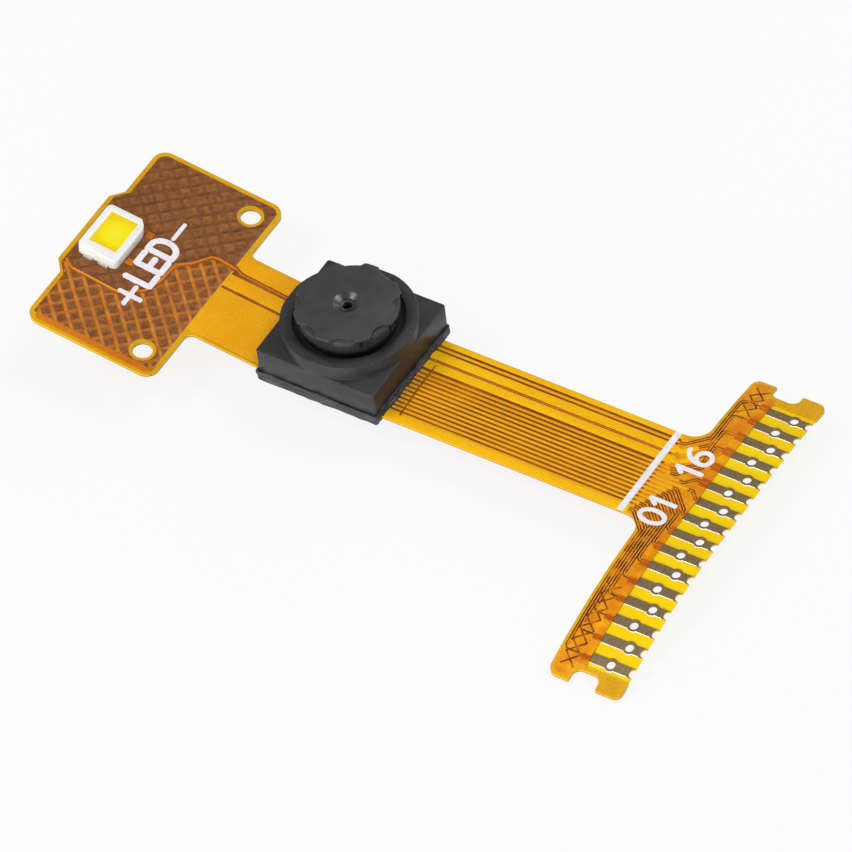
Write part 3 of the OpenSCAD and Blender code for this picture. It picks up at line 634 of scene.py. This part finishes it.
def tail_outline(inset):
    """The tail's outline with its notches, drawn in by inset, up to the strip."""
    x0, x1 = TAIL_X0 + inset, FINGER_X0 - 0.02
    lo, hi = TAIL_LO + inset, TAIL_HI - inset
    f = TAIL_FILLET + inset
    r = ARM_R - inset * 0.5
    left = NOTCH_X - NOTCH_W / 2 - inset
    loop = arc(TAIL_X0 - TAIL_FILLET, STRIP_HI + TAIL_FILLET, f, -90, 0, 10)
    loop += arc(x0 + r, hi - r, r, 180, 90, 6)
    deep, shallow = NOTCH_D + 0.05, NOTCH_D - 0.1
    loop += [(left, hi), (left, hi - shallow), (left + 0.2, hi - deep), (x1, hi - deep)]
    loop += [(x1, lo + deep), (left + 0.2, lo + deep), (left, lo + shallow), (left, lo)]
    loop += arc(x0 + r, lo + r, r, 270, 180, 6)
    loop += arc(TAIL_X0 - TAIL_FILLET, STRIP_LO - TAIL_FILLET, f, 0, 90, 10)
    return loop


# ---------------------------------------------------------------- strip and tail conductors
# Heights over the film: bases lie a little inside it, tops stand over it
UNDER, SUNK = -0.01, -0.004
SKIN, RIDGE = 0.004, 0.018
NECK_IN = PAD_X - 0.1
POWER = (1, 2)
GROUND = FINGER_N - 1
GUARD_IN, POWER_IN, POWER_PITCH = 0.63, 1.15, 0.78
SIGNAL_IN, SIGNAL_PITCH, GROUND_IN = 2.5, 0.3, 0.3
POWER_W, GROUND_W, SIGNAL_W, BEND_W = 0.56, 0.42, 0.14, 0.3
LEAD_IN, CORNER, BEND_SHARE = 0.3, 0.14, 0.6


def box_loop(x0, y0, x1, y1):
    return [(x0, y0), (x1, y0), (x1, y1), (x0, y1)]


def conductor_y(i):
    if i == 0:
        return STRIP_HI - GUARD_IN
    if i < 3:
        return STRIP_HI - POWER_IN - (i - 1) * POWER_PITCH
    if i < GROUND:
        return STRIP_HI - SIGNAL_IN - (i - 3) * SIGNAL_PITCH
    return STRIP_LO + GROUND_IN


def fan_x(i):
    rank = i if i < 6 else GROUND - i
    return TAIL_X0 + MARGIN + FAN_W / 2 + rank * FAN_PITCH


def fan_path(i):
    """Route of conductor i from the strip to its finger."""
    y, fy, turn = conductor_y(i), finger_y(i), fan_x(i)
    sign = 1 if fy > y else -1
    lead = min(TAIL_FILLET, abs(fy - y))
    path = [(turn - lead - LEAD_IN, y), (turn - lead, y), (turn, y + sign * lead)]
    if abs(fy - y) > lead + 0.05:
        path.append((turn, fy - sign * CORNER))
    return path + [(turn + CORNER, fy), (FINGER_X0 - 0.05, fy)]


def flat_fields():
    """Dark ground between the strip's lines, and the orange ground of the tail."""
    gap = bmesh.new()
    add_plate(gap, [box_loop(NECK_IN, STRIP_LO + 0.5, SPLIT_X, STRIP_HI - 0.38)], UNDER, SKIN)
    piece_from(gap, "strip_gaps", "gap")
    tail = bmesh.new()
    add_plate(tail, [tail_outline(0.2)], UNDER, SKIN * 0.5)
    piece_from(tail, "tail_field", "tail")


def middle_line():
    """Thin line in the gap between the two power conductors."""
    between = bmesh.new()
    y = STRIP_HI - POWER_IN - POWER_PITCH / 2
    add_ridge(between, [(NECK_IN + 0.3, y), (SPLIT_X - 0.2, y)], 0.07, SUNK, 0.012, 0.015)
    piece_from(between, "strip_middle_line", "orange", smooth=50)


def arm_lattice():
    """Crossed lines at both arms' ends."""
    lattice = bmesh.new()
    near, far = TAIL_X0 + 0.42, TAIL_X0 + 1.3
    for end, reach, towards in ((TAIL_LO + 0.7, 5.6, 1), (TAIL_HI - 0.6, 2.9, -1)):
        for phase in (0, 1):
            zigzag = [
                (near if (k + phase) % 2 else far, end + towards * k * CHEVRON)
                for k in range(int(reach / CHEVRON) + 1)
            ]
            add_ridge(lattice, zigzag, 0.07, SUNK, RIDGE + 0.004 + 0.001 * phase, 0.02)
    piece_from(lattice, "arm_lattice", "tail_gap", smooth=50)


def conductors():
    narrow, wide, fan, shade, tabs = (bmesh.new() for _ in range(5))
    for i in range(FINGER_N):
        y, fy, path = conductor_y(i), finger_y(i), fan_path(i)
        in_strip = [(NECK_IN, y), path[0]]
        if i == GROUND:
            add_ridge(wide, in_strip, GROUND_W, SUNK, RIDGE)
        elif i in POWER:
            (x0, y0), (x1, y1) = path[1:3]
            part_way = (x0 + (x1 - x0) * BEND_SHARE, y0 + (y1 - y0) * BEND_SHARE)
            add_ridge(wide, in_strip, POWER_W, SUNK, RIDGE)
            add_ridge(wide, [(path[0][0] - 0.05, y), path[1], part_way], BEND_W, SUNK, RIDGE * 0.98)
        else:
            add_ridge(narrow, in_strip, SIGNAL_W, SUNK, RIDGE * 0.9)
        # Each dark route is a hair higher than the last, so that crossing ones don't coincide
        add_ridge(shade, path, FAN_W + 0.13, SUNK, SKIN + 0.002 + 0.0002 * i, 0.01)
        add_ridge(fan, path, FAN_W - 0.05, SUNK, RIDGE, 0.02)
        tab_x = max(fan_x(i) + 0.2, FINGER_X0 - 0.5)
        add_ridge(tabs, [(tab_x, fy), (FINGER_X0, fy)], FINGER_W, SUNK, RIDGE * 0.8)
    for y, width in ((STRIP_HI - 0.2, 0.36), (STRIP_LO + 0.25, 0.44)):
        add_ridge(wide, [(NECK_IN, y), (SPLIT_X, y)], width, SUNK, SKIN * 2)
    piece_from(narrow, "strip_narrow_lines", "gold", smooth=50)
    piece_from(wide, "strip_wide_lines", "gold_wide", smooth=50)
    piece_from(shade, "fan_gaps", "tail_gap")
    piece_from(tabs, "finger_tabs", "tab", smooth=50)
    piece_from(fan, "fan_lines", "fan", smooth=50)


def conductor_ends():
    """Pale ends of the conductors beside the camera block, and the dark line across them."""
    teeth, tie = bmesh.new(), bmesh.new()
    for i in range(1, FINGER_N):
        y = conductor_y(i)
        if 0.8 > y > STRIP_LO + 0.4:
            add_ridge(teeth, [(PAD_X + 0.1, y), (PAD_X + 0.62, y - 0.02)], 0.1, SUNK, RIDGE + 0.006, 0.02)
    route = [(PAD_X + 0.75, 1.1), (PAD_X + 0.78, -1.0), (PAD_X + 0.92, STRIP_LO + 0.45)]
    add_ridge(tie, route, 0.12, SUNK, RIDGE + 0.003)
    piece_from(teeth, "conductor_ends", "tooth", smooth=50)
    piece_from(tie, "conductor_tie", "gap")


flat_fields()
middle_line()
arm_lattice()
conductors()
conductor_ends()

# ---------------------------------------------------------------- neck and lamp feed
FEED_Y = STRIP_HI - 1.45
FIELD_X0 = HEAD_X1 - MARGIN + 0.1
NECK_FIELDS = ((FEED_Y + 0.2, STRIP_HI - 0.2), (0.42, FEED_Y - 0.18), (STRIP_LO + 0.2, 0.2))
EDGE_BAND_IN, EDGE_BAND_W = 0.42, 0.4
# Isolating gap between the two copper fields of the lamp, from the neck to the tab
GAP_PATH = [
    (-8.7, 1.75), (-9.9, 1.84), (-10.35, 1.75), (-11.0, 0.8), (-11.75, 0.2), (-11.85, -1.3),
    (-12.2, -2.3), (-13.4, -3.2), (-15.0, -3.15), (-16.5, -3.1), (-17.1, -2.7),
]


def neck_pieces():
    ground, fields = bmesh.new(), bmesh.new()
    add_plate(ground, [box_loop(FIELD_X0, STRIP_LO + 0.3, -NECK_IN, STRIP_HI - 0.3)], UNDER, SKIN)
    piece_from(ground, "neck_gaps", "gap")
    for y0, y1 in NECK_FIELDS:
        y = (y0 + y1) / 2
        add_ridge(fields, [(FIELD_X0 - 0.1, y), (-NECK_IN, y)], y1 - y0, SUNK, RIDGE)
    piece_from(fields, "neck_fields", "neck", smooth=50)


def feed_pieces():
    """The lamp's feed line with painted shadow along both its sides, the orange band along the head's edge
    and two marks beside the lamp.
    """
    feed, feed_shadow, light = bmesh.new(), bmesh.new(), bmesh.new()
    neck_feed = [(-NECK_IN, FEED_Y), (HEAD_X1 + 0.3, FEED_Y + 0.1), GAP_PATH[0]]
    # painted shadow: dark bands along both sides of the raised feed line, in the neck and over the head
    add_ridge(feed_shadow, neck_feed, 0.26, SUNK, RIDGE + 0.004)
    add_ridge(feed, neck_feed, 0.07, SUNK, RIDGE + 0.02)
    add_ridge(feed_shadow, GAP_PATH, 0.34, 0.0, 0.056)
    add_ridge(feed, GAP_PATH, 0.16, 0.0, 0.08)
    add_ridge(light, [(-16.4, -3.1), (-15.0, -3.13), (-13.5, -3.18)], 0.06, 0.02, 0.09, 0.02)
    r = HEAD_R - EDGE_BAND_IN
    band = arc(HEAD_X0 + HEAD_R, HEAD_LO + HEAD_R, r, 180, 270, 6)
    band += arc(HEAD_X1 - HEAD_R, HEAD_LO + HEAD_R, r, 270, 360, 6)
    add_ridge(feed, band, EDGE_BAND_W, SUNK, 0.01)
    half = LAND_MARK / 2
    for x, y in LAND_MARKS:
        add_plate(feed, [box_loop(x - half, y - half, x + half, y + half)], 0.0, 0.065)
    piece_from(feed, "lamp_feed", "orange", smooth=50)
    piece_from(feed_shadow, "lamp_feed_shadows", "gap", smooth=50)
    piece_from(light, "lamp_feed_light", "tooth", smooth=50)


neck_pieces()
feed_pieces()


# ---------------------------------------------------------------- head lattice
FIX_RING, EDGE_STEP, FIELD_STEP = 0.17, 0.3, 0.05
FIELD_Z, WIRE_Z, RIPPLE_Z = 0.014, 0.034, 0.008


def head_depth(x, y):
    """Distance inside the lattice field's outline, less than 0 outside it."""
    r = HEAD_R - MARGIN
    qx = np.abs(x - (HATCH_LO[0] + HATCH_HI[0]) / 2) - (HATCH_HI[0] - HATCH_LO[0]) / 2 + r
    qy = np.abs(y - (HATCH_LO[1] + HATCH_HI[1]) / 2) - (HATCH_HI[1] - HATCH_LO[1]) / 2 + r
    edge = r - np.hypot(np.maximum(qx, 0), np.maximum(qy, 0)) - np.minimum(np.maximum(qx, qy), 0)
    for s in (-1, 1):
        ring = np.hypot(x - FIX_X, y - (MID_Y + s * FIX_SPAN / 2)) - FIX_R - FIX_RING
        edge = np.minimum(edge, ring)
    edge = np.minimum(edge, y - HATCH_LO[1] - EDGE_STEP)
    shoulder = TAB_W / 2 - 0.2 + (x - TAB_X) * TAB_SLOPE / TAB_L
    tab = np.minimum(x - TAB_X - 0.25, shoulder - np.abs(y - MID_Y))
    return np.maximum(edge, np.where(x < HATCH_LO[0] + EDGE_STEP, tab, -1))


def head_fields():
    """The film over the lattice, as one sheet on each side of the isolating gap."""
    step = FIELD_STEP
    xs = np.arange(TAB_X + 0.2, HATCH_HI[0] + 0.05, step)
    ys = np.arange(HATCH_LO[1] - 0.05, HATCH_HI[1] + 0.05, step)
    gx, gy = np.meshgrid(xs, ys, indexing="ij")
    depth = head_depth(gx, gy)
    dx, dy = gx - (HEAD_X0 + HEAD_X1) / 2 - LATTICE_SHIFT, gy - MID_Y
    u, v = (dx + dy) * math.sqrt(0.5), (dx - dy) * math.sqrt(0.5)
    near_u = LATTICE / 2 - np.abs((u / LATTICE - np.round(u / LATTICE)) * LATTICE)
    near_v = LATTICE / 2 - np.abs((v / LATTICE - np.round(v / LATTICE)) * LATTICE)
    near = np.minimum(near_u, near_v)
    line = np.clip(1 - (near - LATTICE_W / 2) / 0.12, 0, 1)
    line = line * line * (3 - 2 * line)
    path = sorted(GAP_PATH)
    border = np.interp(gx, [p[0] for p in path], [p[1] for p in path])
    keep = depth > -0.04
    ripple = np.array([[noise.noise(Vector((x * 1.7, y * 1.7, 3.1))) for y in ys] for x in xs])
    height = FIELD_Z + WIRE_Z * line + RIPPLE_Z * ripple
    height = np.minimum(height, -0.004 + np.clip(depth, -0.04, None) * 0.2)
    height = np.where(depth > 0.05, np.maximum(height, 0.004), height)
    for name, look, part in (
        ("head_field_lower", "lattice", gy <= border),
        ("head_field_upper", "lattice_dark", gy >= border - 1.5 * step),
    ):
        use = keep & part
        index = -np.ones(gx.shape, int)
        verts, faces = [], []
        for i, j in zip(*np.nonzero(use)):
            index[i, j] = len(verts)
            z = Z_TOP + warp(gx[i, j], gy[i, j]) + height[i, j]
            verts.append((gx[i, j] * MM, gy[i, j] * MM, z * MM))
        for i in range(gx.shape[0] - 1):
            for j in range(gx.shape[1] - 1):
                q = (index[i, j], index[i + 1, j], index[i + 1, j + 1], index[i, j + 1])
                if min(q) >= 0:
                    faces.append(q)
        mesh = bpy.data.meshes.new(name)
        mesh.from_pydata(verts, [], faces)
        piece_from(mesh, name, look, smooth=60)


head_fields()

# ---------------------------------------------------------------- lettering
INK = 0.086
INK_TAIL = 0.034


def glyph(bm, strokes, base_x, y0, width, base, top):
    """Strokes in (along, up) mm, read towards +Y with their tops towards -X."""
    for stroke in strokes:
        add_stroke(bm, [(base_x - v, y0 + u) for u, v in stroke], width, base, top)


def bowl(cu, cv, ru, rv, a0, a1, n=14):
    return [
        (cu + ru * math.cos(math.radians(a0 + (a1 - a0) * k / n)),
         cv + rv * math.sin(math.radians(a0 + (a1 - a0) * k / n)))
        for k in range(n + 1)
    ]


def lamp_marks():
    """The plus, LED and minus beside the lamp."""
    ink = bmesh.new()
    h, t, base_x = 1.55, 0.36, -12.1
    glyph(ink, [[(0, 0), (1.3, 0)]], -12.7, -3.7, 0.28, 0, INK)
    glyph(ink, [[(0.65, -0.65), (0.65, 0.65)]], -12.7, -3.7, 0.28, 0, INK + 0.0012)
    glyph(ink, [[(0, h), (0, 0), (0.8, 0)]], base_x, -1.98, t, 0, INK)
    glyph(ink, [[(0.85, h), (0, h), (0, 0), (0.85, 0)]], base_x, -0.85, t, 0, INK)
    glyph(ink, [[(0, h / 2), (0.7, h / 2)]], base_x, -0.85, t, 0, INK + 0.005)
    d_shape = [(0, 0), (0, h)] + bowl(0.35, h / 2, 0.6, h / 2, 90, -90, 12) + [(0, 0)]
    glyph(ink, [d_shape], base_x, 0.33, t, 0, INK)
    glyph(ink, [[(0, 0), (1.2, 0)]], -12.8, 1.65, 0.24, 0, INK)
    piece_from(ink, "lamp_marks", "ink", smooth=40)


def end_numbers():
    """01 and 16, the numbers of the first and the last finger."""
    digits = bmesh.new()
    h, t = 1.5, 0.28
    one = [(0, h * 0.74), (0.32, h), (0.32, 0)]
    glyph(digits, [bowl(0.45, h / 2, 0.45, h / 2, 0, 360, 24)], 21.95, -3.52, t, 0, INK_TAIL)
    glyph(digits, [one], 21.95, -2.2, t, 0, INK_TAIL)
    glyph(digits, [one], 22.05, 0.45, t, 0, INK_TAIL)
    six = bowl(0.45, 0.45, 0.45, 0.45, 0, 360, 22)
    hook = bowl(0.75, 0.45, 0.75, h - 0.45, 180, 90, 10)
    glyph(digits, [six], 22.05, 1.4, t, 0, INK_TAIL)
    glyph(digits, [hook], 22.05, 1.4, t, 0, INK_TAIL + 0.002)
    piece_from(digits, "end_numbers", "ink", smooth=40)


lamp_marks()
end_numbers()


# ---------------------------------------------------------------- solder fingers
def finger_edge_highlights():
    """Painted highlight: a bright line along one side of each finger, round its ring."""
    shine = bmesh.new()
    r = HOLE_R + RING
    a = math.degrees(math.asin(FINGER_W / 2 / r))
    for i in range(FINGER_N):
        y = finger_y(i) - FINGER_W / 2
        ring = arc(hole_x(i), finger_y(i), r, 180 + a, 360 - a, 8)
        path = [(FINGER_X0 + 0.02, y)] + ring + [(TAIL_X1 - 0.3, y)]
        add_ridge(shine, path, 0.035, -0.1, -0.046, 0.012)
    piece_from(shine, "finger_edge_highlights", "painted_finger_highlight", smooth=50)


finger_edge_highlights()

# ---------------------------------------------------------------- camera block and lamp
LOBE_IN, LOBE_H = 2.9, 0.19
GLUE_CORE, GLUE_STEP = 3.6, 0.16
GLUE_OUT, GLUE_LUMP, GLUE_DIP = 0.01, 0.24, -0.12


def at_lobe(p):
    return math.hypot(p.x, p.y) > LOBE_IN and p.z > BARREL_HI[2] - LOBE_H


def at_lamp_corner(p):
    return abs(p.x - LAMP_X) > 1.0 and abs(p.y - LAMP_Y) > 1.2


def holder_and_barrel():
    holder = softened("lens_holder", 0.05)
    piece_from(holder, "holder_body", "holder", ["lens_holder"], 35)
    barrel = softened("lens_barrel", 0.04, 0.16, at_lobe)
    piece_from(barrel, "barrel_body", "barrel", ["lens_barrel"], 35)


def lumpy_glue():
    """The glue with its outer surface pushed out and in by noise of three sizes."""
    bm = bmesh.new()
    bm.from_mesh(NODES["holder_glue"].data)
    bmesh.ops.remove_doubles(bm, verts=bm.verts[:], dist=1e-7)
    for _ in range(4):
        long_edges = [e for e in bm.edges if e.calc_length() > GLUE_STEP * MM]
        if long_edges:
            bmesh.ops.subdivide_edges(bm, edges=long_edges, cuts=1, use_grid_fill=True)
    bmesh.ops.triangulate(bm, faces=bm.faces[:])
    bm.normal_update()
    for v in bm.verts:
        p = v.co / MM
        if max(abs(p.x), abs(p.y)) < GLUE_CORE:
            continue
        lump = noise.noise(p * 1.6) * 0.5 + noise.noise(p * 4.3) * 0.4 + noise.noise(p * 9) * 0.2
        outward = Vector((v.normal.x, v.normal.y, max(0, v.normal.z)))
        v.co += outward * (GLUE_OUT + GLUE_LUMP * max(GLUE_DIP, lump)) * MM
    piece_from(bm, "glue_bead", "glue", ["holder_glue"], 60)


def lamp_body():
    body = softened("led_housing", 0.05, 0.3, at_lamp_corner)
    piece_from(body, "lamp_body", "white", ["led_housing"], 35)


holder_and_barrel()
lumpy_glue()
lamp_body()

# ---------------------------------------------------------------- stage
FLOOR_Z, FLOOR_HALF, FLOOR_SHARE = CAD_BOX[0][2], 0.6, 0.87
WORLD_LIGHT = 0.34


def floor_and_world():
    bm = bmesh.new()
    for a, b in box_loop(-FLOOR_HALF, -FLOOR_HALF, FLOOR_HALF, FLOOR_HALF):
        bm.verts.new((a, b, FLOOR_Z - 0.0001))
    bm.verts.ensure_lookup_table()
    bm.faces.new(bm.verts[:])
    mesh = bpy.data.meshes.new("floor")
    bm.to_mesh(mesh)
    bm.free()
    floor = bpy.data.objects.new("floor", mesh)
    bpy.context.scene.collection.objects.link(floor)
    mat = bpy.data.materials.new("floor")
    mat.use_nodes = True
    nodes, links = mat.node_tree.nodes, mat.node_tree.links
    bsdf = nodes["Principled BSDF"]
    bsdf.inputs["Base Color"].default_value = (0.86, 0.86, 0.86, 1)
    bsdf.inputs["Roughness"].default_value = 0.9
    glow = nodes.new("ShaderNodeEmission")
    glow.inputs["Color"].default_value = (1, 1, 1, 1)
    glow.inputs["Strength"].default_value = 1.0
    path = nodes.new("ShaderNodeLightPath")
    seen = nodes.new("ShaderNodeMath")
    seen.operation = "MAXIMUM"
    links.new(path.outputs["Is Camera Ray"], seen.inputs[0])
    links.new(path.outputs["Is Glossy Ray"], seen.inputs[1])
    also = nodes.new("ShaderNodeMath")
    also.operation = "MAXIMUM"
    links.new(seen.outputs[0], also.inputs[0])
    links.new(path.outputs["Is Transmission Ray"], also.inputs[1])
    share = nodes.new("ShaderNodeMath")
    share.operation = "MULTIPLY"
    share.inputs[1].default_value = FLOOR_SHARE
    links.new(also.outputs[0], share.inputs[0])
    mix = nodes.new("ShaderNodeMixShader")
    links.new(share.outputs[0], mix.inputs[0])
    links.new(bsdf.outputs[0], mix.inputs[1])
    links.new(glow.outputs[0], mix.inputs[2])
    links.new(mix.outputs[0], nodes["Material Output"].inputs["Surface"])
    mesh.materials.append(mat)
    world = bpy.data.worlds.new("studio")
    bpy.context.scene.world = world
    world.use_nodes = True
    background = world.node_tree.nodes["Background"]
    background.inputs["Color"].default_value = (1, 1, 1, 1)
    background.inputs["Strength"].default_value = WORLD_LIGHT


def lamp(name, place, aim, size, power):
    light = bpy.data.lights.new(name, "AREA")
    light.shape = "RECTANGLE"
    light.size, light.size_y = size
    light.energy = power
    obj = bpy.data.objects.new(name, light)
    bpy.context.scene.collection.objects.link(obj)
    obj.location = place
    obj.rotation_euler = (Vector(aim) - Vector(place)).to_track_quat("-Z", "Y").to_euler()


floor_and_world()
lamp("key", (0.12, 0.16, 0.3), (0.004, 0, 0), (0.16, 0.12), 0.4)
lamp("fill", (-0.14, -0.126, 0.286), (0, 0, 0.004), (0.13, 0.1), 0.32)
lamp("front", (0.05, -0.34, 0.07), (0.004, 0, 0), (0.3, 0.08), 0.8)
lamp("rim", (0.02, 0.3, 0.12), (0, 0, 0.002), (0.3, 0.06), 0.1)


CAMERA_AZ, CAMERA_EL, CAMERA_ROLL = (math.radians(a) for a in (-37.225, 47.433, -7.637))
CAMERA_FAR, CAMERA_RIGHT, CAMERA_UP = 700 * MM, 4.014 * MM, -4.194 * MM
SENSOR, FOCAL = 36, 532.766197


def photo_camera():
    """Camera fitted to the object's own corners: direction, roll, distance and sideways shift."""
    flat = math.cos(CAMERA_EL)
    back = Vector((-math.sin(CAMERA_AZ) * flat, -math.cos(CAMERA_AZ) * flat, math.sin(CAMERA_EL)))
    level_right = (-back).cross(Vector((0, 0, 1))).normalized()
    level_up = level_right.cross(-back)
    right = level_right * math.cos(CAMERA_ROLL) + level_up * math.sin(CAMERA_ROLL)
    up = level_up * math.cos(CAMERA_ROLL) - level_right * math.sin(CAMERA_ROLL)
    place = Vector((0, 0, Z_TOP * MM)) + back * CAMERA_FAR + right * CAMERA_RIGHT + up * CAMERA_UP
    data = bpy.data.cameras.new("camera")
    data.sensor_width = SENSOR
    data.lens = FOCAL
    data.clip_start = 0.01
    data.clip_end = 10
    cam = bpy.data.objects.new("camera", data)
    bpy.context.scene.collection.objects.link(cam)
    cam.matrix_world = Matrix((
        (right.x, up.x, back.x, place.x), (right.y, up.y, back.y, place.y),
        (right.z, up.z, back.z, place.z), (0, 0, 0, 1),
    ))
    bpy.context.scene.camera = cam


photo_camera()
bpy.context.scene.view_settings.view_transform = "Standard"
